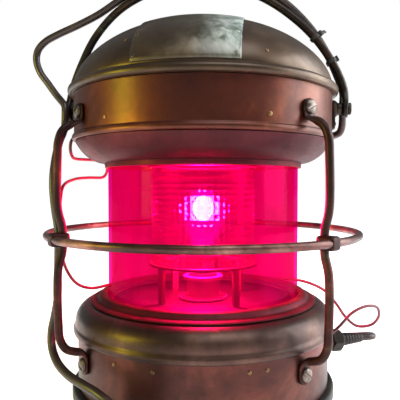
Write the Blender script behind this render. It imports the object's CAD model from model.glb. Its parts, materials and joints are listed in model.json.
import json
import math

import bpy
import bmesh
import numpy as np
from mathutils import Matrix, Vector


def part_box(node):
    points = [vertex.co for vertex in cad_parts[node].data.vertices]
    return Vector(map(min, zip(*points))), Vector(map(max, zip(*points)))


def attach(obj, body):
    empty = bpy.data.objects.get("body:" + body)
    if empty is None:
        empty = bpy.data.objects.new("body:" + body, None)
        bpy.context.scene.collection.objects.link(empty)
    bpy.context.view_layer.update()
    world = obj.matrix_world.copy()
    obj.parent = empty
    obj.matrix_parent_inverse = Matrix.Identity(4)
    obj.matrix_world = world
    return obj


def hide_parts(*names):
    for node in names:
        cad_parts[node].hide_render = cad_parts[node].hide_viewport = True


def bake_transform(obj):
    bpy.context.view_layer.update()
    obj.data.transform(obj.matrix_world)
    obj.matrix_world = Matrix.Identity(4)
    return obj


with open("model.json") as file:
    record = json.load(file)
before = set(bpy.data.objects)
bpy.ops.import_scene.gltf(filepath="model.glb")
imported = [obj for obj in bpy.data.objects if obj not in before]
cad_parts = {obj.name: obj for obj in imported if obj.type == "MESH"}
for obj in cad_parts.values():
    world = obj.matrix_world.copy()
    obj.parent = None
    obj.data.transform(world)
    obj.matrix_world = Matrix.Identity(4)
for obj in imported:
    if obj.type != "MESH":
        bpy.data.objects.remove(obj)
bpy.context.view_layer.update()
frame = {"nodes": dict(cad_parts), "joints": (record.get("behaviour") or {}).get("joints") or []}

# ---------------------------------------------------------------- sizes in metres, most read from the frame
MM = 0.001


def radius_of(node):
    low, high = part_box(node)
    return (high[0] - low[0]) / 2


def bottom_of(node):
    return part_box(node)[0][2]


def top_of(node):
    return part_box(node)[1][2]


BASE_RADIUS = radius_of("base_pan")
BASE_TOP = top_of("base_pan")
LOWER_DRUM_RADIUS = radius_of("lower_drum")
LOWER_BEAD_RADIUS = radius_of("lower_shoulder")
SEAT_RADIUS = radius_of("glass_seat_ring")
GLASS_RADIUS = radius_of("globe_glass")
GLASS_BOTTOM = bottom_of("globe_glass")
GLASS_TOP = top_of("globe_glass")
COLLAR_RADIUS = radius_of("upper_collar")
UPPER_BEAD_RADIUS = radius_of("upper_drum")
UPPER_DRUM_RADIUS = UPPER_BEAD_RADIUS - 2.1 * MM
UPPER_DRUM_BOTTOM = bottom_of("upper_drum")
TOP_BEAD_RADIUS = radius_of("dome_cap")
DOME_BOTTOM = bottom_of("dome_cap") + 8 * MM
DOME_RISE = top_of("dome_cap") - DOME_BOTTOM
DOME_OUT, DOME_UP = 0.95, 1.2  # powers of the dome's outline; both 1 would be an ellipse
RING_HEIGHT = (bottom_of("guard_ring") + top_of("guard_ring")) / 2
ROD_RADIUS = (top_of("guard_ring") - bottom_of("guard_ring")) / 2
RING_CIRCLE = radius_of("guard_ring") - ROD_RADIUS
GUARD_AZIMUTHS = {"left": -50.0, "right": 50.0, "rear": 180.0}
PIVOT_HEIGHT = frame["joints"][0]["pos_m"][2]
BAIL_BAR = 3.5 * MM
CABLE_RADIUS = 3.25 * MM
CABLE_OFF_BAIL = BAIL_BAR + CABLE_RADIUS + 0.6 * MM  # between their centrelines
WIRE_RADIUS = 1.4 * MM
GLAND_AZIMUTH = 113.0
COIL_AZIMUTH = -27.0
COIL_DISTANCE = 184 * MM
COIL_RADIUS = 37 * MM
COIL_TOP = 14 * MM
BULB_HEIGHT = 162 * MM
FILAMENT_RADIUS, FILAMENT_HALF = 9.0, 11.5  # in millimetres
SPUN_SEGMENTS = 192


# ---------------------------------------------------------------- helpers
def polar(azimuth, radius, height):
    """A point at an azimuth in degrees from the front (-Y) towards +X, a radius and a height (mm)."""
    a = math.radians(azimuth)
    return Vector((radius * math.sin(a), -radius * math.cos(a), height)) * MM


def around(azimuth):
    """A turn about the vertical axis, from the front of the lantern to an azimuth."""
    return Matrix.Rotation(math.radians(azimuth), 4, "Z")


def mesh_of(part, name="part"):
    """A mesh from a (vertices, faces) pair."""
    vertices, faces = part
    mesh = bpy.data.meshes.new(name)
    mesh.from_pydata([tuple(v) for v in vertices], [], [tuple(f) for f in faces])
    mesh.validate()
    return mesh


def add_to_scene(name, data):
    """A new object in the scene that has this mesh, light or camera."""
    obj = bpy.data.objects.new(name, data)
    bpy.context.scene.collection.objects.link(obj)
    return obj


def face_outwards(mesh):
    tidy = bmesh.new()
    tidy.from_mesh(mesh)
    bmesh.ops.recalc_face_normals(tidy, faces=tidy.faces)
    tidy.to_mesh(mesh)
    tidy.free()
    return mesh


def place(name, mesh, material, slot=None, replaces=(), body="root", sharp=38):
    """Adds a mesh to the scene as a piece; edges sharper than an angle in degrees stay sharp."""
    face_outwards(mesh)
    mesh.polygons.foreach_set("use_smooth", [True] * len(mesh.polygons))
    mesh.set_sharp_from_angle(angle=math.radians(sharp))
    obj = add_to_scene(name, mesh)
    mesh.materials.append(material)
    if body:
        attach(obj, body)
    if replaces:
        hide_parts(*replaces)
    return obj


def piece(name, part, material, slot=None, replaces=(), body="root", sharp=38):
    """A visible piece from a (vertices, faces) pair; it stands for the nodes it replaces."""
    return place(name, mesh_of(part, name), material, slot, replaces, body, sharp)


def rounded(outline, steps=4):
    """A closed outline of (radius, height, rounding) in mm, with a smooth bend at each corner."""
    points = []
    count = len(outline)
    for i, (r, z, rounding) in enumerate(outline):
        here = Vector((r, z))
        before = Vector(outline[i - 1][:2]) - here
        after = Vector(outline[(i + 1) % count][:2]) - here
        reach = min(rounding, before.length * 0.48, after.length * 0.48)
        if reach < 0.02:
            points.append(here)
            continue
        start = here + before.normalized() * reach
        end = here + after.normalized() * reach
        for k in range(steps + 1):
            t = k / steps
            points.append(start * (1 - t) ** 2 + here * 2 * t * (1 - t) + end * t * t)
    return [(p.x, p.y) for p in points]


def turn_angles(count):
    return [2 * math.pi * k / count for k in range(count)]


def strip(a, b):
    """The faces that join two closed rings of vertex numbers."""
    return [(a[k], a[(k + 1) % len(a)], b[(k + 1) % len(b)], b[k]) for k in range(len(a))]


def rings_of(count, sides):
    """The vertex numbers of a count of rings, each with that number of sides."""
    return [range(i * sides, (i + 1) * sides) for i in range(count)]


def revolve(points, segments=SPUN_SEGMENTS, closed=True):
    """Vertices and faces of an outline of (radius, height) in mm, spun round the vertical axis."""
    vertices, faces, rings = [], [], []
    for r, z in points:
        if r < 1e-6:
            rings.append([len(vertices)])
            vertices.append((0.0, 0.0, z * MM))
            continue
        rings.append(list(range(len(vertices), len(vertices) + segments)))
        for a in turn_angles(segments):
            vertices.append((r * MM * math.sin(a), -r * MM * math.cos(a), z * MM))
    pairs = list(zip(rings, rings[1:] + rings[:1])) if closed else list(zip(rings, rings[1:]))
    for a, b in pairs:
        if len(a) == 1 and len(b) == 1:
            continue
        if len(a) == len(b):
            faces += strip(a, b)
            continue
        for k in range(segments):
            n = (k + 1) % segments
            faces.append((a[0], b[k], b[n]) if len(a) == 1 else (a[k], a[n], b[0]))
    return vertices, faces


def spun(name, outline, material, slot, replaces=(), segments=SPUN_SEGMENTS, steps=4, closed=True):
    points = rounded(outline, steps) if len(outline[0]) == 3 else outline
    return piece(name, revolve(points, segments, closed), material, slot, replaces)


def between(t, start, end, a, b):
    """From a at start to b at end, in a straight line."""
    return (end - t) / (end - start) * a + (t - start) / (end - start) * b


def distances(line):
    """How far along a line each of its points is."""
    return np.concatenate([[0], np.cumsum(np.linalg.norm(np.diff(line, axis=0), axis=1))])


def smooth_path(points, spacing):
    """A centripetal Catmull-Rom curve through the points, with steps of about that spacing."""
    p = [np.array(q, float) for q in points]
    p = [2 * p[0] - p[1]] + p + [2 * p[-1] - p[-2]]
    line = []
    for a, b, c, d in zip(p, p[1:], p[2:], p[3:]):
        t0 = 0.0
        t1 = t0 + max(np.linalg.norm(b - a), 1e-9) ** 0.5
        t2 = t1 + max(np.linalg.norm(c - b), 1e-9) ** 0.5
        t3 = t2 + max(np.linalg.norm(d - c), 1e-9) ** 0.5
        for t in np.linspace(t1, t2, 12, endpoint=False):
            a1 = between(t, t0, t1, a, b)
            a2 = between(t, t1, t2, b, c)
            a3 = between(t, t2, t3, c, d)
            line.append(between(t, t1, t2, between(t, t0, t2, a1, a2), between(t, t1, t3, a2, a3)))
    line.append(p[-2])
    line = np.array(line)
    along = distances(line)
    at = np.linspace(0, along[-1], max(3, int(along[-1] / spacing) + 1))
    return np.stack([np.interp(at, along, line[:, k]) for k in range(3)], axis=1)


def length_of(line):
    return float(np.linalg.norm(np.diff(line, axis=0), axis=1).sum())


def sweep(line, section, up=None, closed=False):
    """Vertices and faces of a section carried along a line. section(share) gives (across, up) pairs."""
    line = np.asarray(line, float)
    count = len(line)
    vertices, faces = [], []
    tangent = np.gradient(line, axis=0)
    if closed:
        tangent = np.roll(line, -1, axis=0) - np.roll(line, 1, axis=0)
    tangent /= np.linalg.norm(tangent, axis=1)[:, None]
    side = np.cross(tangent[0], up if up is not None else (0, 0, 1))
    if np.linalg.norm(side) < 1e-6:
        side = np.cross(tangent[0], (0, 1, 0))
    side /= np.linalg.norm(side)
    sides = 0
    for i in range(count):
        if up is not None:
            side = np.cross(tangent[i], up)
        else:
            side = side - tangent[i] * side.dot(tangent[i])
        side /= np.linalg.norm(side)
        over = np.cross(side, tangent[i])
        shape = section(i / (count - 1))
        sides = len(shape)
        for across, height in shape:
            vertices.append(line[i] + side * across + over * height)
    rings = rings_of(count, sides)
    for a, b in zip(rings, rings[1:] + rings[:1] if closed else rings[1:]):
        faces += strip(a, b)
    if not closed:
        faces.append(tuple(reversed(rings[0])))
        faces.append(tuple(rings[-1]))
    return vertices, faces


def ellipse_section(across, height, sides=20, power=1.0):
    shape = []
    for t in turn_angles(sides):
        c, s = math.cos(t), math.sin(t)
        shape.append((
            across * math.copysign(abs(c) ** power, c),
            height * math.copysign(abs(s) ** power, s),
        ))
    return shape


def tube(name, line, radius, material, slot, replaces, sides, body="root"):
    shape = ellipse_section(radius, radius, sides)
    return piece(name, sweep(line, lambda share: shape), material, slot, replaces, body, sharp=60)


def joined(*parts):
    """Several (vertices, faces) pairs as one."""
    vertices, faces = [], []
    for v, f in parts:
        start = len(vertices)
        vertices += [tuple(p) for p in v]
        faces += [tuple(start + i for i in face) for face in f]
    return vertices, faces


def moved(part, matrix):
    vertices, faces = part
    return [matrix @ Vector(v) for v in vertices], faces


# ---------------------------------------------------------------- camera
VIEW_AZIMUTH = math.radians(7)
VIEW_DISTANCE = 0.460
VIEW_HEIGHT = 0.181
VIEW_TILT = math.radians(1.4)
camera_data = bpy.data.cameras.new("camera")
camera_data.sensor_width = 36
camera_data.lens = 45.45
camera_data.shift_x = -0.0075
camera = add_to_scene("camera", camera_data)
camera.location = (
    VIEW_DISTANCE * math.sin(VIEW_AZIMUTH), -VIEW_DISTANCE * math.cos(VIEW_AZIMUTH), VIEW_HEIGHT,
)
camera.rotation_euler = (math.pi / 2 - VIEW_TILT, 0, VIEW_AZIMUTH)
bpy.context.scene.camera = camera


# ---------------------------------------------------------------- materials
class Nodes:
    """A small helper that adds and links shader nodes, for a new material or a new world."""

    def __init__(self, name, kind="materials", out="ShaderNodeOutputMaterial"):
        self.owner = getattr(bpy.data, kind).new(name)
        self.owner.use_nodes = True
        self.tree = self.owner.node_tree
        self.tree.nodes.clear()
        self.out = self.tree.nodes.new(out)
        self.place = self.tree.nodes.new("ShaderNodeTexCoord").outputs["Object"]

    def add(self, kind, inputs=None, **settings):
        node = self.tree.nodes.new(kind)
        for key, value in settings.items():
            setattr(node, key, value)
        for key, value in (inputs or {}).items():
            self.set(node.inputs[key], value)
        return node

    def set(self, socket, value):
        if isinstance(value, bpy.types.NodeSocket):
            self.tree.links.new(value, socket)
        else:
            socket.default_value = value

    def stretched(self, scale):
        return self.add("ShaderNodeMapping", {"Vector": self.place, "Scale": scale}).outputs[0]

    def noise(self, scale, detail=6, rough=0.6, distortion=0.0, place=None):
        node = self.add("ShaderNodeTexNoise", {
            "Vector": self.place if place is None else place, "Scale": scale, "Detail": detail,
            "Roughness": rough, "Distortion": distortion,
        })
        return node.outputs["Fac"]

    def ramp(self, value, *stops):
        node = self.add("ShaderNodeValToRGB", {"Fac": value})
        ramp = node.color_ramp
        while len(ramp.elements) < len(stops):
            ramp.elements.new(0.5)
        for element, (position, color) in zip(ramp.elements, stops):
            element.position = position
            element.color = rgba(color)
        return node.outputs["Color"]

    def grey(self, value, low, high, start=0.0, end=1.0):
        """Maps a value from start..end to low..high."""
        node = self.add("ShaderNodeMapRange", {
            "Value": value, "From Min": start, "From Max": end, "To Min": low, "To Max": high,
        })
        return node.outputs["Result"]

    def mix(self, share, a, b, blend="MIX"):
        node = self.add("ShaderNodeMix", data_type="RGBA", blend_type=blend)
        self.set(node.inputs[0], share)
        self.set(node.inputs[6], a if isinstance(a, bpy.types.NodeSocket) else rgba(a))
        self.set(node.inputs[7], b if isinstance(b, bpy.types.NodeSocket) else rgba(b))
        return node.outputs[2]

    def maths(self, operation, a, b=0.0):
        node = self.add("ShaderNodeMath", operation=operation)
        self.set(node.inputs[0], a)
        self.set(node.inputs[1], b)
        return node.outputs[0]

    def bump(self, height, strength, distance, normal=None):
        node = self.add("ShaderNodeBump", {"Height": height, "Strength": strength, "Distance": distance})
        if normal is not None:
            self.set(node.inputs["Normal"], normal)
        return node.outputs["Normal"]

    def combine(self, kind, a, b, **inputs):
        """Two shaders added or mixed together."""
        node = self.add(kind, inputs)
        self.set(node.inputs[-2], a)
        self.set(node.inputs[-1], b)
        return node.outputs[0]

    def finish(self, shader):
        self.tree.links.new(shader, self.out.inputs["Surface"])
        return self.owner

    def principled(self, **inputs):
        """The finished material of one principled shader; an input's spaces are written as underscores."""
        named = {key.replace("_", " "): value for key, value in inputs.items()}
        return self.finish(self.add("ShaderNodeBsdfPrincipled", named).outputs[0])


def rgba(color):
    """#rrggbb as linear rgba; a tuple passes through."""
    if not isinstance(color, str):
        return (*color, 1.0) if len(color) == 3 else tuple(color)
    parts = [int(color[i:i + 2], 16) / 255 for i in (1, 3, 5)]
    return (*[c / 12.92 if c <= 0.04045 else ((c + 0.055) / 1.055) ** 2.4 for c in parts], 1.0)


def aged_metal(name, dark, middle, bright, worn=0.5, rough=(0.3, 0.55), scale=1.0, dents=0.0004,
               green="#5c6a52", metallic=0.75, coat=0.35):
    """Old brass or bronze: blotchy patina, worn bright where it has been rubbed, and fine scratches."""
    n = Nodes(name)
    blotch = n.noise(9 * scale, 8, 0.62, 0.6)
    cloud = n.noise(32 * scale, 7, 0.7, 0.3)
    speck = n.noise(420, 4, 0.7)
    base = n.ramp(blotch, (0.34, dark), (0.52, middle), (0.68, bright))
    base = n.mix(n.grey(cloud, 0.0, 0.75, 0.45, 0.75), base, dark, "MIX")
    base = n.mix(n.grey(n.noise(14 * scale, 6, 0.7, 1.2), 0.0, 0.35, 0.58, 0.72), base, green)
    scratch_place = n.stretched((1.0, 1.0, 26.0))
    scratch = n.noise(70, 5, 0.75, 0.4, scratch_place)
    rub = n.maths("MULTIPLY", n.grey(scratch, 0.0, 1.0, 0.60, 0.72), worn)
    base = n.mix(rub, base, bright)
    base = n.mix(n.grey(speck, 0.0, 0.55, 0.62, 0.72), base, "#120c08")
    roughness = n.grey(n.maths("ADD", n.maths("MULTIPLY", cloud, 0.6), n.maths("MULTIPLY", scratch, 0.4)),
                       rough[0], rough[1], 0.35, 0.65)
    soft = n.bump(n.noise(18, 3, 0.5), 1.0, dents)
    fine = n.bump(scratch, 0.25, 0.0002, soft)
    pits = n.bump(speck, 0.35, 0.00012, fine)
    return n.principled(
        Base_Color=base, Roughness=roughness, Metallic=metallic, Normal=pits,
        Coat_Weight=coat, Coat_Roughness=0.3,
    )


def worn_plate():
    """The blank plate: brown and grimy at its left, and rubbed to a pale grey-green towards its right."""
    n = Nodes("plate_brass")
    fleck = n.noise(110, 5, 0.65, 0.5, n.stretched((1.0, 1.0, 0.35)))
    cloud = n.noise(30, 5, 0.6, 0.5)
    place = n.add("ShaderNodeSeparateXYZ", {"Vector": n.place})
    across = n.maths("ADD", place.outputs["X"], n.grey(cloud, -0.006, 0.006, 0.35, 0.65))
    along = n.grey(across, 0.0, 1.0, -0.014, 0.036)
    rubbed = n.ramp(along, (0.0, "#000000"), (0.45, "#484848"), (1.0, "#ffffff"))
    low = n.grey(place.outputs["Z"], 0.25, 1.0, 0.272, 0.292)
    rubbed = n.maths("MULTIPLY", rubbed, low)
    base = n.ramp(cloud, (0.36, "#2a1d12"), (0.55, "#3c2f20"), (0.7, "#544632"))
    pale = n.ramp(fleck, (0.34, "#6a7a72"), (0.5, "#a9b8b2"), (0.62, "#d2dcd8"))
    base = n.mix(rubbed, base, pale)
    return n.principled(
        Base_Color=base, Metallic=0.35, Roughness=n.grey(fleck, 0.3, 0.5, 0.35, 0.65),
        Coat_Weight=0.2, Coat_Roughness=0.25,
        Normal=n.bump(fleck, 0.4, 0.0002, n.bump(cloud, 0.8, 0.0004)),
    )


def rubbery(name, color, dust, rough=(0.45, 0.7), bump=0.00012, coat=0.0):
    n = Nodes(name)
    grime = n.noise(60, 6, 0.65, 0.4)
    fine = n.noise(900, 3, 0.6)
    base = n.mix(n.grey(grime, 0.0, 0.6, 0.45, 0.75), color, dust)
    return n.principled(
        Base_Color=base, Roughness=n.grey(grime, rough[0], rough[1], 0.35, 0.65),
        Coat_Weight=coat, Coat_Roughness=0.25,
        Normal=n.bump(n.maths("ADD", fine, grime), 0.5, bump),
    )


def red_glass():
    """Tinted glass that glows with the lamp's light, and shines at its edges."""
    n = Nodes("red_glass")
    streak = n.noise(26, 5, 0.6, 0.3, n.stretched((1.0, 1.0, 0.08)))
    share = n.grey(streak, 0.0, 1.0, 0.35, 0.65)
    tint = n.mix(share, (0.70, 0.025, 0.40), (0.80, 0.04, 0.50))
    clear = n.add("ShaderNodeBsdfTransparent", {"Color": tint})
    glow = n.add("ShaderNodeEmission", {
        "Color": n.mix(share, (0.86, 0.0, 0.10), (1.0, 0.0, 0.14)), "Strength": 0.15,
    })
    body = n.combine("ShaderNodeAddShader", clear.outputs[0], glow.outputs[0])
    shine = n.add("ShaderNodeBsdfGlossy", {"Color": (0.9, 0.25, 0.45, 1.0), "Roughness": 0.08})
    edge = n.add("ShaderNodeFresnel", {"IOR": 1.45})
    share = n.maths("MULTIPLY", edge.outputs[0], 0.1)
    return n.finish(n.combine("ShaderNodeMixShader", body, shine.outputs[0], Fac=share))


def lens_glass():
    """Pressed clear glass: its small squares bend the lamp's light."""
    n = Nodes("lens_glass")
    ripple = n.bump(n.noise(300, 3, 0.6), 0.3, 0.0003)
    clear = n.add("ShaderNodeBsdfTransparent", {"Color": (0.97, 0.90, 0.93, 1.0)})
    bent = n.add("ShaderNodeBsdfRefraction", {
        "Color": (1.0, 0.93, 0.95, 1.0), "Roughness": 0.02, "IOR": 1.22, "Normal": ripple,
    })
    body = n.combine("ShaderNodeMixShader", clear.outputs[0], bent.outputs[0], Fac=0.5)
    shine = n.add("ShaderNodeBsdfGlossy", {
        "Color": (1.0, 0.9, 0.95, 1.0), "Roughness": 0.12, "Normal": ripple,
    })
    edge = n.add("ShaderNodeFresnel", {"IOR": 1.3})
    share = n.maths("MULTIPLY", edge.outputs[0], 0.5)
    return n.finish(n.combine("ShaderNodeMixShader", body, shine.outputs[0], Fac=share))


def lit(name, color, level):
    """Something that gives light, a little unevenly."""
    n = Nodes(name)
    uneven = n.grey(n.noise(90, 3, 0.6), 0.75, 1.25, 0.35, 0.65)
    strength = n.maths("MULTIPLY", uneven, level)
    glow = n.add("ShaderNodeEmission", {"Color": (*color, 1.0), "Strength": strength})
    return n.finish(glow.outputs[0])


def lamp_envelope():
    """The lamp's thin glass, filled with a faint glow."""
    n = Nodes("lamp_envelope")
    clear = n.add("ShaderNodeBsdfTransparent", {"Color": (1.0, 0.97, 0.98, 1.0)})
    uneven = n.grey(n.noise(60, 3, 0.6), 0.5, 1.1, 0.35, 0.65)
    glow = n.add("ShaderNodeEmission", {"Color": (0.9, 0.32, 0.85, 1.0), "Strength": uneven})
    return n.finish(n.combine("ShaderNodeAddShader", clear.outputs[0], glow.outputs[0]))


def ceramic():
    n = Nodes("ceramic")
    stain = n.noise(40, 6, 0.6, 0.3)
    base = n.mix(n.grey(stain, 0.0, 0.7, 0.45, 0.75), "#8c8478", "#5c5044")
    return n.principled(
        Base_Color=base, Roughness=n.grey(stain, 0.25, 0.5, 0.3, 0.7),
        Normal=n.bump(stain, 0.3, 0.0002),
    )


def steel():
    n = Nodes("steel")
    stain = n.noise(160, 6, 0.65, 0.5)
    base = n.mix(n.grey(stain, 0.0, 0.8, 0.45, 0.7), "#c9c4ba", "#5a4a38")
    return n.principled(
        Base_Color=base, Metallic=0.95, Roughness=n.grey(stain, 0.22, 0.5, 0.3, 0.7),
        Normal=n.bump(n.noise(700, 4, 0.7), 0.3, 0.0001),
    )


BRONZE = aged_metal("bronze", "#22130e", "#3c2822", "#664c42", worn=0.3, green="#3c3830", coat=0.22)
DRUM = aged_metal("drum_brass", "#26100c", "#46221c", "#703e32", worn=0.3, green="#40302a", coat=0.15)
UPPER_DRUM = aged_metal("upper_drum_brass", "#330d04", "#55200c", "#854a2c", worn=0.25, green="#4c3018")
SKIRT = aged_metal("skirt_bronze", "#2c0a10", "#4c141e", "#6a2c36", worn=0.2, green="#361a1c",
                   rough=(0.45, 0.7), coat=0.1)
COLLAR = aged_metal("collar_bronze", "#2c040a", "#5c0a1c", "#7c2838", worn=0.25, green="#2c1010",
                    rough=(0.5, 0.75), coat=0.05)
DOME = aged_metal("dome_bronze", "#28190c", "#483522", "#7a644c", worn=0.35, green="#44403a")
BEAD = aged_metal("bead_brass", "#2e1c10", "#6a4c28", "#b48c4c", worn=0.7, rough=(0.25, 0.45))
DARK = aged_metal("dark_bronze", "#0e0a07", "#1f1711", "#4a3824", worn=0.3, rough=(0.4, 0.65), coat=0.2)
GUARD = aged_metal("guard_bronze", "#180808", "#2e1210", "#542a24", worn=0.3, rough=(0.4, 0.65), scale=2.0,
                   coat=0.1)
RING = aged_metal("guard_ring_bronze", "#2a1210", "#58302a", "#a87c70", worn=0.5, rough=(0.32, 0.55),
                  scale=2.0)
BAIL = aged_metal("bail_bronze", "#0e0806", "#1e130c", "#4a3422", worn=0.25, rough=(0.38, 0.6), scale=2.0,
                  coat=0.2)
FRAME = aged_metal("lens_frame_brass", "#6a4a34", "#94704c", "#c49c68", worn=0.4, rough=(0.35, 0.55))
BLACK = aged_metal("black_base", "#080706", "#121010", "#2c2620", worn=0.2, rough=(0.5, 0.7), metallic=0.4,
                   coat=0.15)
PLATE = worn_plate()
RED_GLASS = red_glass()
LENS_GLASS = lens_glass()
LAMP = lamp_envelope()
FILAMENT = lit("filament", (0.35, 1.0, 0.5), 1100.0)  # the red glass turns this greenish light white
CERAMIC = ceramic()
STEEL = steel()
WORN_STEEL = aged_metal("worn_steel", "#2a241e", "#6a6058", "#b0a498", worn=0.5, rough=(0.3, 0.5),
                        scale=3.0)
RUBBER = rubbery("rubber", "#161413", "#3c3732")
CABLE = rubbery("cable", "#1e1210", "#3c2a26", rough=(0.35, 0.6), coat=0.2)
WIRE = rubbery("thin_wire", "#5c1c2a", "#9a6470", rough=(0.35, 0.55), coat=0.2)


# ---------------------------------------------------------------- cords
def upright(x, z, y=0.0):
    """A point on or near the plane of the upright bail, in millimetres."""
    return Vector((x, y, z)) * MM


def upright_route(*points):
    return [upright(*point) for point in points]


def polar_route(*points):
    return [polar(*point) for point in points]


# The bail's centreline over the lantern, from the right pivot to the left one.
BOW = smooth_path(upright_route(
    (125, 250), (125.3, 258), (124.4, 266), (121.3, 276), (111.8, 295), (99, 313), (81.5, 330.5),
    (58, 347.5), (28, 361), (-4, 367), (-42, 361.5), (-76, 345.5), (-100, 321), (-115, 293),
    (-122.8, 272), (-125.3, 259), (-125, 250),
), 0.5 * MM)


# Shares of the bow: up to the first the cable lies behind the bail, and from the second on its outside.
CABLE_BEHIND, CABLE_OUTSIDE = 0.10, 0.36


def on_bow(share):
    """A point at a share of the bow's length, and the bow's heading there."""
    at = share * (len(BOW) - 1)
    i = min(int(at), len(BOW) - 2)
    here = Vector(BOW[i]).lerp(Vector(BOW[i + 1]), at - i)
    heading = (Vector(BOW[min(i + 4, len(BOW) - 1)]) - Vector(BOW[max(i - 4, 0)])).normalized()
    return here, heading


def cable_side(share):
    """The side of the bail that the cable lies on: behind it, and then round to its outside."""
    lean = math.pi / 2 * min(1.0, max(0.0, (CABLE_OUTSIDE - share) / (CABLE_OUTSIDE - CABLE_BEHIND)))
    heading = on_bow(share)[1]
    return Vector((heading.z, 0, -heading.x)) * math.cos(lean) + Vector((0, math.sin(lean), 0))


def beside_bow(share, distance):
    return on_bow(share)[0] + cable_side(share) * distance


COIL_START = 9  # the angle from +X at which the cable joins the coil, in degrees
COIL_CENTRE = polar(COIL_AZIMUTH, COIL_DISTANCE / MM, 0)


def by_coil(angle, radius, height):
    """A point beside the coil: its angle from +X, its distance from the coil's middle and its height."""
    t = math.radians(angle)
    return COIL_CENTRE + Vector((radius * math.cos(t), radius * math.sin(t), height)) * MM


CABLE_REAR = polar_route(
    (GLAND_AZIMUTH, 166.3, 30), (GLAND_AZIMUTH, 178, 30), (119, 191, 25), (129, 196, 15), (141, 188, 7),
    (154, 172, 6), (166, 156, 15), (173, 146, 32), (175.5, 141, 55), (175.5, 142.2, 90),
    (175.5, 143.4, 120), (175.5, 143.6, 141), (175.5, 142, 165), (174.5, 138, 192), (171, 131, 210),
    (163, 122, 223), (151, 117.8, 231.5), (136, 117.8, 235), (122, 118.2, 234), (112, 119.3, 231.6),
) + upright_route(
    (116.4, 230.2, 35), (120.9, 229.9, 26.5), (123.8, 231.6, 19.8), (125, 236, 15), (125.2, 240.5, 13.2),
)
BAIL_LEAVE = 0.695  # the share of the bow at which the cable leaves the bail
CABLE_BAIL = upright_route((125.1, 249, 11.9), (125, 257, 10.4), (125, 262.5, 8.6)) + [
    beside_bow(share, CABLE_OFF_BAIL) for share in (
        0.05, 0.085, 0.12, 0.16, 0.2, 0.25, 0.3, 0.35, 0.4, 0.45, 0.5, 0.55, 0.6, 0.65, BAIL_LEAVE,
    )
]
CABLE_LOOP = upright_route(
    (-97, 341.5), (-116.4, 332.5), (-136, 324.6), (-148.8, 318.3), (-156.3, 310.6), (-158.2, 301.3),
    (-154.8, 290), (-146.5, 278.6, -0.5), (-137.5, 267.5, -3.5), (-129.8, 259.8, -7.8),
    (-126.3, 256, -10.6),
)
CABLE_DOWN = upright_route(
    (-125.2, 248.5, -12.6), (-125.2, 240.5, -13.2), (-125, 235, -14.8), (-124.6, 229.5, -19.5),
    (-123.8, 225.5, -25.5),
) + polar_route(
    (-75.5, 126.8, 221), (-69, 127, 214.5), (-64.5, 129, 204.5), (-61.5, 131, 192), (-60.2, 131.5, 178),
    (-59.5, 130.5, 164), (-58.5, 128.8, 150), (-58, 128.4, 141), (-58, 128.6, 130), (-58, 129, 110),
    (-58, 129.5, 92), (-58.8, 131.5, 78), (-59, 134, 65), (-57, 134.6, 54.5), (-51.5, 133.5, 45.5),
    (-43.5, 131.5, 40.2), (-35, 130.4, 38), (-27.5, 130.2, 35.2),
) + upright_route(
    (-47, 29.5, -123.4), (-40.8, 20.5, -131.4), (-38, 11, -141.5), (-36.9, 5.4, -149.5),
) + [by_coil(COIL_START, 48.2, 3.4)]


# The plug's places along its axis, and its axis's distance from the coil's middle, in millimetres.
PLUG_OFFSET = 26.0
PLUG_NECK = -6.0
PLUG_BACK = 14.0
PLUG_FRONT = 50.0
PLUG_PINS = 66.0
PLUG_HEIGHT = COIL_TOP + 0.3 * MM + 7.5 * MM


def on_plug_axis(along):
    """A point on the plug's axis, so far along it from the middle of its chord of the coil (mm)."""
    chord = around(COIL_AZIMUTH) @ (Vector((PLUG_OFFSET, -along, 0)) * MM)
    return COIL_CENTRE + chord + Vector((0, 0, PLUG_HEIGHT))


def coil_turns():
    """Two turns on the floor, from the outside in, two on top of them, and then up and into the plug."""
    # turn count, radius and height in millimetres at each stage of the winding
    stages = [
        (0.0, 48.2, 3.4), (0.4, 41.0, 3.4), (0.98, 40.6, 3.4), (1.16, 33.7, 3.4), (1.95, 33.7, 3.4),
        (2.14, 33.7, 10.3), (2.95, 33.7, 10.3), (3.14, 40.5, 10.3), (4.05, 40.5, 10.3), (4.45, 37.5, 16.6),
        (4.85, 37.0, 18.2),
    ]
    turns, radii, heights = zip(*stages)
    steps = 18
    points = []
    for i in range(1, int(turns[-1] * steps)):
        turn = i / steps
        radius, height = np.interp(turn, turns, radii), np.interp(turn, turns, heights)
        points.append(by_coil(COIL_START - 360 * turn, radius, height))
    # a quarter turn of a tighter bend, from the side of the coil to the plug's chord
    bend = PLUG_OFFSET
    middle = COIL_RADIUS / MM - bend
    top = PLUG_HEIGHT / MM
    side = math.radians(COIL_AZIMUTH + 90)
    for k in range(1, 6):
        angle = math.radians(COIL_AZIMUTH + 90 - 18 * k)
        out = Vector((middle * math.cos(side), middle * math.sin(side), 0))
        out += Vector((bend * math.cos(angle), bend * math.sin(angle), 18.2 + (top - 18.2) * k / 5))
        points.append(COIL_CENTRE + out * MM)
    points += [on_plug_axis(along) for along in (PLUG_NECK, PLUG_BACK - 6)]
    return points


def lay_cable():
    route = [*CABLE_REAR, *CABLE_BAIL, *CABLE_LOOP, *CABLE_DOWN, *coil_turns()]
    line = smooth_path(route, 2.6 * MM)
    cable = tube("power_cable", line, CABLE_RADIUS, CABLE, "cable", (
        "cable_rear", "cable_on_bail", "cable_loop", "cable_down", "cable_coil",
    ), 16, body=None)
    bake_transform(cable)
    return cable, line


WIRE_REACH = 115  # about how far the wire's bends lie from the lantern's axis, in millimetres


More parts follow.
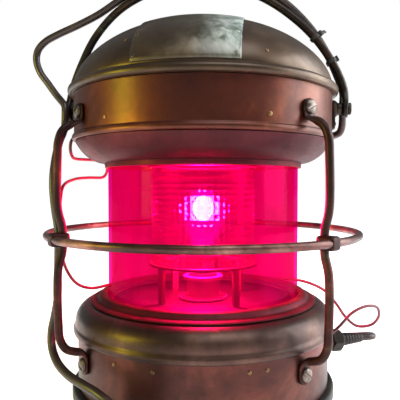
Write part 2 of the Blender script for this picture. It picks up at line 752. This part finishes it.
def wire_bend(azimuth, reach, height, radius, side):
    """Half a turn of the wire along the drum's side; side 1 turns it back at larger azimuths."""
    points = []
    for k in range(7):
        t = -math.pi / 2 + math.pi * k / 6
        beyond = side * math.degrees(radius * math.cos(t)) / WIRE_REACH
        points.append(polar(azimuth + beyond, reach + 0.27 * beyond, height + radius * math.sin(t)))
    return points


WIRE_ROUTE = [
    *polar_route(
        (104, 118.2, 40), (100, 127, 52), (99, 138, 65), (100, 152, 70.5), (102, 165, 68), (104.5, 170, 57),
        (107.5, 167, 47), (111, 157, 44), (113, 148, 52), (115, 141, 64), (119, 134, 76), (127, 121, 84),
        (140, 107, 85), (155, 103.4, 83.6), (180, 103.4, 83.2), (205, 103.4, 83.2), (230, 103.4, 83.2),
        (250, 104, 83.6), (266, 109, 85), (276, 116, 93), (282, 121.5, 106), (286, 124.5, 120),
        (288, 125.5, 136), (288.5, 126, 154), (285, 126, 172), (281.5, 124.9, 182.5), (271.5, 120.3, 188.8),
        (262, 115, 190.6),
    ),
    *wire_bend(253, 111.4, 199.5, 8.5, -1), polar(261, 114, 208), *wire_bend(271.5, 119.8, 217.5, 9.5, 1),
    polar(266, 119.2, 228),
]


def lay_thin_wire():
    line = smooth_path(WIRE_ROUTE, 2 * MM)
    wire = tube("thin_lead", line, WIRE_RADIUS, WIRE, "thin_wire", ("thin_wire",), 12)


power_cable, cable_line = lay_cable()
lay_thin_wire()


# ---------------------------------------------------------------- base and lower drum
def build_base():
    rim = BASE_RADIUS / MM
    drum = LOWER_DRUM_RADIUS / MM
    height = BASE_TOP / MM
    spun("base", [
        (0, 0, 0), (rim - 2.5, 0, 1), (rim, 2.5, 1), (rim, height - 2, 0.8), (rim - 1.2, height - 0.4, 0.8),
        (drum + 2, height, 0.5), (drum + 0.3, height, 0), (drum + 0.3, 2, 0), (0, 2, 0),
    ], BLACK, "black_base", ("base_pan",))
    spun("drum_lower", [
        (drum, 2.3, 0), (drum, 56.5, 0), (drum - 1.6, 56.5, 0), (drum - 1.6, 2.3, 0),
    ], DRUM, "drum_brass", ("lower_drum",))
    bead = LOWER_BEAD_RADIUS / MM
    spun("shoulder", [
        (109.6, 56.9, 0.2), (bead - 1.6, 56.9, 1.4), (bead, 58.6, 1.6), (bead, 61.8, 1.8),
        (113.6, 64.2, 1.2), (113.3, 68, 3), (112.3, 72.5, 5), (109, 77.5, 5), (104, 80.8, 5),
        (99, 82, 3), (93, 82, 2), (87, 82, 0), (87, 80.4, 0), (98.5, 79.9, 3), (103.4, 79.3, 3),
        (107.7, 76.4, 3), (110.8, 72, 3), (111.7, 67.5, 1), (111.7, 63.5, 1), (109.6, 61.5, 0.3),
    ], BRONZE, "bronze", ("lower_shoulder",))
    seat = SEAT_RADIUS / MM
    glass = GLASS_RADIUS / MM
    spun("seat_ring", [
        (seat - 0.6, 82.3, 0.2), (seat, 82.6, 0.2), (99, 83.7, 1), (94.6, 84.6, 1.2), (93, 86.8, 1.2),
        (91.4, 88.5, 1), (88.6, 89, 1), (glass + 0.7, 88.6, 0.5), (glass + 0.7, 83.5, 0), (80, 83.5, 0.3),
        (80, 82.3, 0),
    ], COLLAR, "dark_bronze", ("glass_seat_ring",))


# ---------------------------------------------------------------- glass
def build_glass():
    glass = GLASS_RADIUS / MM
    low, high = GLASS_BOTTOM / MM, GLASS_TOP / MM
    spun("globe", [
        (glass, low, 0.6), (glass, high, 0.6), (glass - 3, high, 0.6), (glass - 3, low, 0.6),
    ], RED_GLASS, "red_glass", ("globe_glass",))
    for name, start, node in (
        ("gasket_lower", low - 2.3, "lower_glass_gasket"),
        ("gasket_upper", high + 0.3, "upper_glass_gasket"),
    ):
        spun(name, [
            (glass, start, 0.5), (glass, start + 2, 0.5), (glass - 3.6, start + 2, 0.5),
            (glass - 3.6, start, 0.5),
        ], RUBBER, "rubber", (node,))
    collar = COLLAR_RADIUS / MM
    spun("collar", [
        (collar, 198.3, 0.6), (collar, 206.6, 0.4), (80.5, 206.6, 0), (80.5, 204.6, 0.2),
        (glass + 0.6, 204.6, 0), (glass + 0.6, 198.3, 0.3),
    ], COLLAR, "dark_bronze", ("upper_collar",))


# ---------------------------------------------------------------- upper drum, skirt and dome
def dome_point(radius, rise, t):
    """A point of the dome's outline (mm); t is 0 at its foot and a quarter turn at its top."""
    up = math.sin(t)
    out = max(math.cos(t), 0.0)
    return radius * out ** DOME_OUT, DOME_BOTTOM / MM + rise * up ** DOME_UP


def dome_outline(radius, rise, steps, start=0.0):
    points = [dome_point(radius, rise, start + (math.pi / 2 - start) * i / steps) for i in range(steps)]
    return [*points, (0.0, DOME_BOTTOM / MM + rise)]


def build_top():
    collar = COLLAR_RADIUS / MM
    drum = UPPER_DRUM_RADIUS / MM
    spun("skirt", [
        (collar + 0.4, 202.2, 0.2), (94.5, 203.2, 2), (100.2, 206, 4), (105.4, 210, 4), (109.2, 214.6, 4),
        (112.2, 219.4, 2), (112.6, 220.9, 0.3), (110.8, 220.9, 0.3), (107.6, 215.4, 2), (104.2, 211.2, 2),
        (99.4, 207.6, 2), (94, 204.8, 1), (collar + 0.4, 203.8, 0),
    ], SKIRT, "bronze", ("upper_skirt",))
    foot = UPPER_DRUM_BOTTOM / MM
    spun("drum_upper", [
        (112, foot, 0.2), (114.6, foot, 1.0), (115.7, foot + 2.2, 1.3), (114.8, foot + 4.8, 1.0),
        (drum, foot + 5.8, 0.5), (drum, 259.6, 0), (drum - 1.6, 259.6, 0),
    ], UPPER_DRUM, "drum_brass", ("upper_drum",))
    bead = TOP_BEAD_RADIUS / MM
    rim = rounded([
        (110.9, 260, 0), (bead - 1.4, 260, 1.2), (bead, 261.8, 1.3), (bead, 264.6, 1.3),
        (bead - 1.8, 266.8, 1.2), (drum + 0.8, 267.3, 0.5), (drum, 268.4, 0.4),
    ])
    rise = DOME_RISE / MM
    outer = dome_outline(drum, rise, 48, 0.02)
    inner = dome_outline(drum - 1.6, rise - 1.6, 20)
    spun("dome", rim + outer + inner[::-1], DOME, "bronze", ("dome_cap",))


def on_dome(x, z, lift=0.0):
    """A point of the dome's front at x and z in millimetres, lifted off its surface by lift."""
    radius, rise = UPPER_DRUM_RADIUS / MM, DOME_RISE / MM
    t = math.asin(min(0.999, (max(z - DOME_BOTTOM / MM, 0.0) / rise) ** (1 / DOME_UP)))
    ring = dome_point(radius, rise, t)[0]
    point = Vector((x, -math.sqrt(max(ring * ring - x * x, 0.0)), z))
    (r0, z0), (r1, z1) = dome_point(radius, rise, max(t - 0.01, 0.0)), dome_point(radius, rise, t + 0.01)
    outwards = Vector((point.x, point.y, 0)).normalized()
    normal = (outwards * (z1 - z0) + Vector((0, 0, r0 - r1))).normalized()
    return (point + normal * lift) * MM, normal


# The plate's half width, and the heights of its lower and upper edge, in millimetres.
PLATE_HALF = 39.6
PLATE_LOW, PLATE_HIGH = 269.8, 316.8


def build_plate():
    across, up = 60, 36
    vertices, faces = [], []
    for layer in (0, 1):
        for j in range(up + 1):
            for i in range(across + 1):
                u, v = i / across, j / up
                x = -PLATE_HALF + 2 * PLATE_HALF * u
                z = PLATE_LOW + (PLATE_HIGH - PLATE_LOW) * v
                edge = min(x + PLATE_HALF, PLATE_HALF - x, (z - PLATE_LOW) * 1.5, (PLATE_HIGH - z) * 1.5)
                lift = 0.25 if layer == 0 else 0.35 + 0.85 * min(1.0, edge / 0.9) ** 0.5
                vertices.append(on_dome(x, z, lift)[0])
    row = across + 1
    half = row * (up + 1)
    for j in range(up):
        for i in range(across):
            a = j * row + i
            faces.append((a, a + row, a + row + 1, a + 1))
            b = a + half
            faces.append((b, b + 1, b + row + 1, b + row))
    border = list(range(across)) + [j * row + across for j in range(up)]
    border += [up * row + i for i in range(across, 0, -1)] + [j * row for j in range(up, 0, -1)]
    for a, b in zip(border, border[1:] + border[:1]):
        faces.append((a, b, b + half, a + half))
    piece("name_plate", (vertices, faces), PLATE, "plate_brass", ("maker_plate",), sharp=50)


# ---------------------------------------------------------------- rivets and screws
def domed(radius, foot, edge, crown, steps):
    """The outline of a head: straight up at its edge, then a quarter of an ellipse to its crown (mm)."""
    points = [(0.0, foot), (radius, foot), (radius, edge)]
    for k in range(1, steps + 1):
        t = math.pi / 2 * k / steps
        points.append((radius * math.cos(t) if k < steps else 0.0, edge + crown * math.sin(t)))
    return points


def button(radius, height):
    """A domed rivet head on the plane z = 0, sunk a little into it (mm)."""
    return revolve(domed(radius, -0.6, 0.15, height - 0.15, 6), 24)


def facing(point, normal):
    """Carries a piece made on z = 0 to a point, with +Z along the normal."""
    return Matrix.Translation(point) @ Vector(normal).to_track_quat("Z", "Y").to_matrix().to_4x4()


def rivets(name, places, radius, height, material, slot):
    parts = [moved(button(radius, height), facing(point, normal)) for point, normal in places]
    piece(name, joined(*parts), material, slot, sharp=50)


def drum_places(radius, azimuths, height):
    return [(polar(a, radius, height), polar(a, 1, 0).normalized()) for a in azimuths]


def build_rivets():
    rivets("upper_drum_rivets", drum_places(113.6, (-32.5, 31.6, 95.6, 159.6, -96.5), 233.2),
           1.8, 0.9, BEAD, "drum_brass")
    rivets("lower_drum_rivets", drum_places(110.9, (-29.5, -11.8, 24.3, 31.6, 97, 133, 205, 241), 50),
           1.6, 0.8, BEAD, "drum_brass")
    corners = [(-36.3, 291.5), (36.3, 291), (-36.3, 273.5), (36.3, 273.5)]
    rivets("plate_rivets", [on_dome(x, z, 1.0) for x, z in corners], 1.7, 1.0, PLATE, "plate_brass")
    rivets("dome_rivets", [on_dome(x, z) for x, z in ((57, 278), (-46, 290))], 1.5, 0.9, BEAD, "bronze")


def carved(solid, cutter):
    """The solid with the cutter taken out of it."""
    body, tool = [add_to_scene("part", face_outwards(mesh_of(part))) for part in (solid, cutter)]
    carve = body.modifiers.new("carve", "BOOLEAN")
    carve.operation = "DIFFERENCE"
    carve.solver = "EXACT"
    carve.object = tool
    graph = bpy.context.evaluated_depsgraph_get()
    mesh = bpy.data.meshes.new_from_object(body.evaluated_get(graph))
    for obj in (body, tool):
        bpy.data.objects.remove(obj)
    return mesh


def soft_box(size, bevel, steps=3, middle=(0, 0, 0)):
    """Vertices and faces of a box with rounded edges, in millimetres."""
    box = bmesh.new()
    bmesh.ops.create_cube(box, size=1)
    bmesh.ops.scale(box, vec=Vector(size), verts=box.verts)
    bmesh.ops.bevel(box, geom=list(box.edges), offset=bevel, segments=steps, profile=0.6, affect="EDGES")
    bmesh.ops.translate(box, vec=Vector(middle), verts=box.verts)
    bmesh.ops.scale(box, vec=Vector((MM, MM, MM)), verts=box.verts)
    box.verts.index_update()
    part = [v.co.copy() for v in box.verts], [[v.index for v in f.verts] for f in box.faces]
    box.free()
    return part


def radial(azimuth, height):
    """Carries a piece made round the vertical axis to one that points out of the lantern."""
    return Matrix.Translation((0, 0, height * MM)) @ around(azimuth) @ Matrix.Rotation(math.pi / 2, 4, "X")


def build_screws():
    for side, azimuth in GUARD_AZIMUTHS.items():
        for place_name, face, height, turn in (("upper", 116.7, 241, 24), ("lower", 114.0, 40, -32)):
            head = revolve(domed(5.5, face, face + 0.9, 2.2, 7), 40)
            name = f"screw_{place_name}_{side}"
            out = radial(azimuth, height)
            across = out @ Matrix.Translation((0, 0, (face + 3.2) * MM)) @ around(turn)
            mesh = carved(moved(head, out), moved(soft_box((14, 1.5, 3), 0.1, 1), across))
            place(name, mesh, WORN_STEEL, "steel", (f"guard_{name}",), sharp=35)


# ---------------------------------------------------------------- guard
def blend_of(a, b, share):
    return a + (b - a) * share


def ease(value, start, end):
    t = min(1.0, max(0.0, (value - start) / (end - start)))
    return t * t * (3 - 2 * t)


def forged_end(distance, radius, half_width, half_thickness, flat, neck):
    """The section of a round bar whose end is hammered flat, at a distance from its tip (mm)."""
    flatness = 1 - ease(distance, flat, flat + neck)
    width = blend_of(radius, half_width, flatness)
    if distance < half_width:
        width *= math.sqrt(max(0.0, 1 - (1 - distance / half_width) ** 2))
    thickness = blend_of(radius, half_thickness, flatness)
    power = blend_of(1.0, 0.45, flatness)
    return ellipse_section(thickness * MM, max(width, 0.25) * MM, 24, power)


def rod_line(azimuth):
    route = [
        (115.2, 247.4), (115.2, 241), (115.3, 235.6), (116.6, 232.6), (122, 230.4), (129, 224.9),
        (132.3, 216), (133, 205), (133, 165), (129.6, 150), (129.6, 132), (133, 118), (133, 74),
        (131.8, 63), (127, 55), (120, 51.9), (114.2, 50), (112.6, 46.6), (112.5, 42), (112.5, 32),
    ]
    return smooth_path([polar(azimuth, r, z) for r, z in route], 1.3 * MM)


def build_guard():
    radius = ROD_RADIUS / MM
    circle = []
    for k in range(240):
        circle.append(polar(k * 1.5, RING_CIRCLE / MM, RING_HEIGHT / MM))
    shape = ellipse_section(ROD_RADIUS, ROD_RADIUS, 20)
    ring = sweep(circle, lambda share: shape, up=(0, 0, 1), closed=True)
    piece("ring", ring, RING, "guard_bronze", ("guard_ring",), sharp=60)
    for side, azimuth in GUARD_AZIMUTHS.items():
        line = rod_line(azimuth)
        total = length_of(line) / MM
        tangential = around(azimuth) @ Vector((1, 0, 0))

        def section(share):
            distance = min(share, 1 - share) * total
            return forged_end(distance, radius, 6.5, 1.2, 14, 9)

        rod = sweep(line, section, up=tangential)
        piece(f"rod_{side}", rod, GUARD, "guard_bronze", (f"guard_rod_{side}",), sharp=60)
        saddle = soft_box((11.6, 15.2, 10.6), 3.2, 5, (0, -132.4, RING_HEIGHT / MM))
        clamp = moved(saddle, around(azimuth))
        piece(f"clamp_{side}", clamp, GUARD, "guard_bronze", (f"ring_clamp_{side}",), sharp=60)


# ---------------------------------------------------------------- bail and lugs
def hexagon(apothem, bottom, top, bevel=0.9):
    """A hexagon nut round the vertical axis, its corners turned off at both ends (mm)."""
    count = 48
    rings = [[], [], [], []]
    for t in turn_angles(count):
        corner = apothem / math.cos((t % (math.pi / 3)) - math.pi / 6)
        slope = 0.15 + (corner - apothem) * bevel
        reaches = (apothem - 0.2, corner, corner, apothem - 0.2)
        heights = (bottom, bottom + slope, top - slope, top)
        for ring, reach, height in zip(rings, reaches, heights):
            ring.append((reach, t, height))
    vertices = [(0, 0, bottom * MM), (0, 0, top * MM)]
    for ring in rings:
        vertices += [(r * math.cos(t) * MM, r * math.sin(t) * MM, z * MM) for r, t, z in ring]
    faces = []
    for k in range(count):
        n = (k + 1) % count
        faces.append((0, 2 + n, 2 + k))
        for part in range(3):
            a, b = 2 + part * count, 2 + (part + 1) * count
            faces.append((a + k, a + n, b + n, b + k))
        faces.append((1, 2 + 3 * count + k, 2 + 3 * count + n))
    return vertices, faces


def curved_plate(azimuth, inner, thickness, half_width, bottom, top, corner):
    """A plate with round corners that lies against a drum (mm)."""
    middle = (bottom + top) / 2
    half_height = (top - bottom) / 2
    reach = inner + thickness / 2
    count = 36
    line = []
    for k in range(count + 1):
        x = -half_width * math.cos(math.pi * k / count)
        line.append(polar(azimuth + math.degrees(x / reach), reach, middle))
    spacing = distances(line)
    vertices, faces = [], []
    sides = 0
    for point, along in zip(line, spacing):
        edge = min(along, spacing[-1] - along) / MM
        drop = corner - math.sqrt(max(0.0, corner ** 2 - max(0.0, corner - edge) ** 2))
        high = max(half_height - drop, 0.3)
        thin = thickness / 2 * min(1.0, 0.55 + edge / 1.2)
        out = Vector((point.x, point.y, 0)).normalized()
        shape = [(-thin, -high), (-thin, high), (thin * 0.5, high), (thin, high - 0.6), (thin, -high + 0.6),
                 (thin * 0.5, -high)]
        sides = len(shape)
        vertices += [point + out * a * MM + Vector((0, 0, b * MM)) for a, b in shape]
    rings = rings_of(count + 1, sides)
    for a, b in zip(rings, rings[1:]):
        faces += strip(a, b)
    faces += [tuple(rings[0]), tuple(rings[-1])]
    return vertices, faces


def build_bail():
    pivot = PIVOT_HEIGHT / MM
    ends = [Vector((side * 125, 0, pivot - 7.5)) * MM for side in (1, -1)]
    line = smooth_path([ends[0], *[Vector(p) for p in BOW[::16]], Vector(BOW[-1]), ends[1]], 1.5 * MM)
    total = length_of(line) / MM

    def section(share):
        distance = min(share, 1 - share) * total
        return forged_end(distance, BAIL_BAR / MM, 7.5, 2.5, 12, 12)

    bar = sweep(line, section, up=(0, 1, 0))
    piece("bail_bar", bar, BAIL, "bail_bronze", ("bail_handle",), "bail", sharp=60)
    for side, azimuth in (("left", -90), ("right", 90)):
        plate = curved_plate(azimuth, 114, 2.4, 9, 232, 257, 4)
        piece(f"lug_plate_{side}", plate, DARK, "dark_bronze", sharp=40)
        out = radial(azimuth, pivot)
        boss = revolve(rounded([
            (0, 115.5, 0), (7.4, 115.5, 0), (7.2, 117.4, 1), (5.2, 119, 1.2), (5.2, 122.2, 0.4),
            (3.2, 122.2, 0), (3.2, 127.6, 0.3), (0, 127.6, 0),
        ], 3), 40)
        piece(f"lug_{side}", moved(boss, out), DARK, "dark_bronze", (f"bail_lug_{side}",), sharp=40)
        tip = revolve([(0, 130.2), (2.6, 130.2), (2.4, 130.8), (0, 130.8)], 24)
        nut = joined(hexagon(5, 128, 130.4), tip)
        name = f"pivot_nut_{side}"
        piece(name, moved(nut, out), DARK, "dark_bronze", (f"bail_{name}",), sharp=30)
        screws = [polar(azimuth + d, 116.4, 236.5) for d in (-2.6, 2.6)]
        rivets(f"lug_rivets_{side}", [(p, polar(azimuth, 1, 0).normalized()) for p in screws],
               1.7, 0.9, DARK, "dark_bronze")


# ---------------------------------------------------------------- lens and lamp
def build_lens():
    """A pressed lens: rows and columns of small raised squares round a clear cylinder."""
    rows, columns, fine = 17, 60, 4
    low, high = 114.0, 199.0
    inner, outer, rise = 42, 45.8, 1.2
    count = columns * fine
    steps = rows * fine
    walls = []
    for j in range(steps + 1):
        z = low + (high - low) * j / steps
        for k, t in enumerate(turn_angles(count)):
            pillow = abs(math.sin(math.pi * k / fine)) ** 0.6 * abs(math.sin(math.pi * j / fine)) ** 0.6
            walls.append((outer + rise * pillow, t, z))
    walls += [(inner, t, z) for z in (high, low) for t in turn_angles(count)]
    vertices = [(r * math.sin(t) * MM, -r * math.cos(t) * MM, z * MM) for r, t, z in walls]
    faces = []
    rings = rings_of(steps + 3, count)
    for a, b in zip(rings, rings[1:] + rings[:1]):
        faces += strip(a, b)
    piece("lens", (vertices, faces), LENS_GLASS, "clear_glass", ("fresnel_lens",), sharp=25)


def build_lamp():
    deck = 80.9
    spun("socket", [
        (0, deck, 0), (22, deck, 0.4), (22, deck + 2, 0.6), (14.5, deck + 2, 1), (14.5, 98, 0.8),
        (18, 98, 0.6), (18, 101.5, 0.8), (12.5, 101.5, 0.6), (12.5, 104, 0.5), (0, 104, 0),
    ], CERAMIC, "ceramic", ("lamp_holder",), segments=64)
    ridges = [(0, 104.3), (8, 104.3)]
    for k in range(41):
        ridges.append((10.4 + 0.6 * math.sin(2 * math.pi * k / 8), 106.5 + 17 * k / 40))
    ridges += [(0, 124)]
    spun("lamp_cap", ridges, STEEL, "steel", ("bulb_cap",), segments=64)
    lamp = spun("lamp", [
        (0, 124.3, 0), (9.5, 124.3, 0.5), (10.5, 131, 4), (17, 146, 6), (19.5, 158, 6), (16.5, 170, 6),
        (9.5, 177, 4), (0, 179.5, 0),
    ], LAMP, "lamp_glass", ("bulb_glass",), segments=64, steps=8)
    core = []
    for k in range(13):
        t = math.pi * k / 12
        core.append((FILAMENT_RADIUS * math.sin(t), BULB_HEIGHT / MM - FILAMENT_HALF * math.cos(t)))
    glow = spun("filament", core, FILAMENT, "lamp_glass", segments=32, closed=False)
    for part in (lamp, glow):
        part.visible_shadow = False
        part.visible_diffuse = False
    glow.visible_glossy = False
    for name, bottom, posts, node in (
        ("lens_frame_foot", 111.7, (80.9, 112.5), "lens_frame_lower"),
        ("lens_frame_head", 199.3, (200.5, 206.5), "lens_frame_upper"),
    ):
        rim = revolve(rounded([
            (49, bottom, 0.5), (49, bottom + 2, 0.5), (41, bottom + 2, 0.5), (41, bottom, 0.5),
        ]), 96)
        legs = []
        for azimuth in (45, 135, 225, 315):
            leg = soft_box((6, 3.6, posts[1] - posts[0]), 0.5, 2, (0, -45.2, sum(posts) / 2))
            legs.append(moved(leg, around(azimuth)))
        piece(name, joined(rim, *legs), FRAME, "dark_bronze", (node,), sharp=40)


# ---------------------------------------------------------------- gland, ties and plug
def grooved(count, start, length, radius, end_radius, depth, fade=0.0):
    """The outline of a ribbed sleeve that narrows or widens along its length; its grooves may fade (mm)."""
    outline = []
    for k in range(count + 1):
        share = k / count
        groove = depth * (1 if (k // 4) % 2 else -1)
        reach = blend_of(radius, end_radius, share) + groove * (1 - share * fade)
        outline.append((reach, start + length * share))
    return outline


def build_gland():
    out = radial(GLAND_AZIMUTH, 30)
    threads = [(0, 111.4), (13, 111.4), (13, 114.6), (12.6, 115), (9.8, 118)]
    for k in range(57):
        threads.append((9.2 + 0.3 * math.cos(2 * math.pi * k / 8), 118.4 + 11.2 * k / 56))
    threads += [(0, 130)]
    piece("gland", moved(revolve(threads, 48), out), BEAD, "bronze", ("gland_body",), sharp=50)
    lip = revolve([(0, 140.6), (8.2, 140.6), (7.6, 142.5), (0, 142.5)], 40)
    nut = joined(hexagon(9.5, 130.4, 141), lip)
    piece("gland_cap_nut", moved(nut, out), DARK, "dark_bronze", ("gland_nut",), sharp=30)
    ribs = grooved(48, 145, 20, 6.0, 4.1, 0.35, fade=0.6)
    sleeve = [(0, 142.8), (6.4, 142.8), (6.4, 144.6), *ribs, (3.6, 166), (0, 166)]
    piece("cable_sleeve", moved(revolve(sleeve, 40), out), RUBBER, "rubber", ("strain_relief",), sharp=40)


TIE_REACH = 3.6  # from a bar's centre to the inside of the strap
TIE_WIDTH = 3.4
STRAP_HALF = 0.45  # half the strap's thickness


def tie_band(centre, along, across, spacing, tail):
    """A cable tie round two bars side by side: its band, its head and its pointed tail (mm)."""
    along, across = Vector(along).normalized(), Vector(across).normalized()
    side = along.cross(across)
    half = spacing / 2
    loop = []
    bend = TIE_REACH + STRAP_HALF
    for t in turn_angles(48):
        x = (half if math.cos(t) >= 0 else -half) + bend * math.cos(t)
        loop.append(centre + (across * x + side * bend * math.sin(t)) * MM)
    strap = ellipse_section(STRAP_HALF * MM, TIE_WIDTH / 2 * MM, 12, 0.5)
    band = sweep(loop, lambda share: strap, up=along, closed=True)
    axes = Matrix((side, along, across)).transposed().to_4x4()
    head_at = centre + (across * half * 0.2 + side * (TIE_REACH + 1.6)) * MM
    head = moved(soft_box((3.2, TIE_WIDTH + 1.4, 4.6), 0.6, 2), Matrix.Translation(head_at) @ axes)
    parts = [band, head]
    if tail:
        route = []
        for k in range(12):
            share = k / 11
            out = across * (2 + tail * share) + side * (TIE_REACH + 1.8 + 1.5 * math.sin(share * 2.2))
            route.append(centre + (out + across * half * 0.2 + along * share * 0.8) * MM)

        def tip(share):
            point = blend_of(1.0, 0.15, ease(share, 0.7, 1.0))
            return ellipse_section(0.4 * MM, TIE_WIDTH / 2 * point * MM, 12, 0.5)

        parts.append(sweep(route, tip, up=along))
    return joined(*parts)


TIE_PLACES = (0.118, 0.185, 0.42, 0.57)
TIE_TAILS = (5, 9, 0, 7)


def build_ties():
    spacing = BAIL_BAR + CABLE_RADIUS + 0.3 * MM
    for i, (share, tail) in enumerate(zip(TIE_PLACES, TIE_TAILS)):
        middle, along = beside_bow(share, spacing / 2), on_bow(share)[1]
        if share < CABLE_OUTSIDE:
            along = -along  # puts the head on the outer side, clear of the dome when the bail swings
        across = cable_side(share)
        tie = tie_band(middle, along, across, spacing / MM, tail)
        piece(f"cable_tie_{i + 1}", tie, RUBBER, "rubber", (f"bail_tie_{i + 1}",), "bail", sharp=40)


def build_plug():
    turn = Matrix.Translation(COIL_CENTRE) @ around(COIL_AZIMUTH)
    lay = turn @ Matrix.Translation((PLUG_OFFSET * MM, 0, PLUG_HEIGHT))
    lay = lay @ Matrix.Rotation(math.pi / 2, 4, "X")
    body = soft_box((25.6, 14.6, PLUG_FRONT - PLUG_BACK), 3, 4, (0, 0, (PLUG_FRONT + PLUG_BACK) / 2))
    grips = []
    for k in range(4):
        grip = soft_box((1.4, 12, 1.6), 0.5, 2)
        for side in (-1, 1):
            grips.append(moved(grip, Matrix.Translation((side * 12.4 * MM, 0, (20 + 4 * k) * MM))))
    ribs = grooved(32, PLUG_NECK + 0.4, PLUG_BACK - PLUG_NECK + 1, 4.3, 6.0, 0.3)
    neck = revolve([(0, PLUG_NECK), (3.6, PLUG_NECK), *ribs, (0, PLUG_BACK + 1.5)], 40)
    body = moved(joined(body, *grips, neck), lay)
    body_obj = piece("plug", body, RUBBER, "rubber", ("plug_body",), sharp=40)
    face = soft_box((24.6, 13.6, 1.2), 0.5, 2, (0, 0, PLUG_FRONT + 0.9))
    pins = []
    for x in (-9.5, 9.5):
        pin = revolve([
            (0, PLUG_FRONT + 1), (2, PLUG_FRONT + 1), (2, PLUG_PINS - 1.2), (1.6, PLUG_PINS - 0.4),
            (0.9, PLUG_PINS), (0, PLUG_PINS),
        ], 24)
        pins.append(moved(pin, Matrix.Translation((x * MM, 0, 0))))
    pins = moved(joined(face, *pins), lay)
    pins_obj = piece("plug_blades", pins, STEEL, "steel", ("plug_pins",), sharp=40)
    return body_obj, pins_obj


def dress_cad():
    """The CAD pieces that stay in view get the same materials as the rest."""
    looks = {
        "inner_deck": DARK, "upper_deck": DARK, "terminal_block": CERAMIC, "gland_to_terminal_wire": CABLE,
        "terminal_to_holder_wire": CABLE,
    }
    for node, material in looks.items():
        for slot in frame["nodes"][node].material_slots:
            slot.material = material


build_base()
build_glass()
build_top()
build_plate()
build_rivets()
build_screws()
build_guard()
build_bail()
build_lens()
build_lamp()
build_gland()
build_ties()
plug_pieces = build_plug()
dress_cad()


# ---------------------------------------------------------------- floor and light
def build_stage():
    n = Nodes("floor")
    grain = n.noise(3, 4, 0.6)
    paint = n.mix(n.grey(grain, 0.0, 0.3, 0.3, 0.7), "#ffffff", "#f4f4f4")
    material = n.principled(
        Base_Color=paint, Roughness=0.9, Emission_Color=(1, 1, 1, 1), Emission_Strength=0.84,
    )
    half, level = 40.0, -0.0005
    floor = bpy.data.meshes.new("floor")
    corners = [(x * half, y * half, level) for x, y in ((-1, -1), (1, -1), (1, 1), (-1, 1))]
    floor.from_pydata(corners, [], [(0, 1, 2, 3)])
    floor.materials.append(material)
    obj = add_to_scene("floor", floor)


def area_light(name, azimuth, distance, height, size, power, color=(1, 1, 1), aim=0.17):
    data = bpy.data.lights.new(name, "AREA")
    data.shape = "RECTANGLE"
    data.size, data.size_y = size
    data.energy = power
    data.color = color
    light = add_to_scene(name, data)
    light.location = polar(azimuth, distance / MM, height / MM)
    towards = Vector((0, 0, aim)) - light.location
    light.rotation_euler = towards.to_track_quat("-Z", "Y").to_euler()
    light.visible_camera = False


def build_lights():
    n = Nodes("studio", "worlds", "ShaderNodeOutputWorld")
    seen = n.add("ShaderNodeBackground", {"Color": (1, 1, 1, 1), "Strength": 1.0})
    fill = n.add("ShaderNodeBackground", {"Color": (0.95, 0.97, 1, 1), "Strength": 0.22})
    in_view = n.add("ShaderNodeLightPath").outputs["Is Camera Ray"]
    both = n.combine("ShaderNodeMixShader", fill.outputs[0], seen.outputs[0], Fac=in_view)
    bpy.context.scene.world = n.finish(both)
    area_light("key", 100, 1.5, 0.7, (1.3, 1.4), 36)
    area_light("top", 35, 0.8, 1.6, (1.2, 0.8), 14)
    area_light("warm", -58, 1.1, 0.36, (0.26, 0.46), 6.2, (1.0, 0.90, 0.05), 0.24)
    lamp = bpy.data.lights.new("lamp_light", "POINT")
    lamp.energy = 34
    lamp.shadow_soft_size = 0.012
    lamp.color = (1.0, 0.35, 0.34)
    light = add_to_scene("lamp_light", lamp)
    light.location = (0, 0, BULB_HEIGHT)
    light.visible_camera = False


build_stage()
build_lights()
bpy.context.scene.view_settings.view_transform = "Standard"
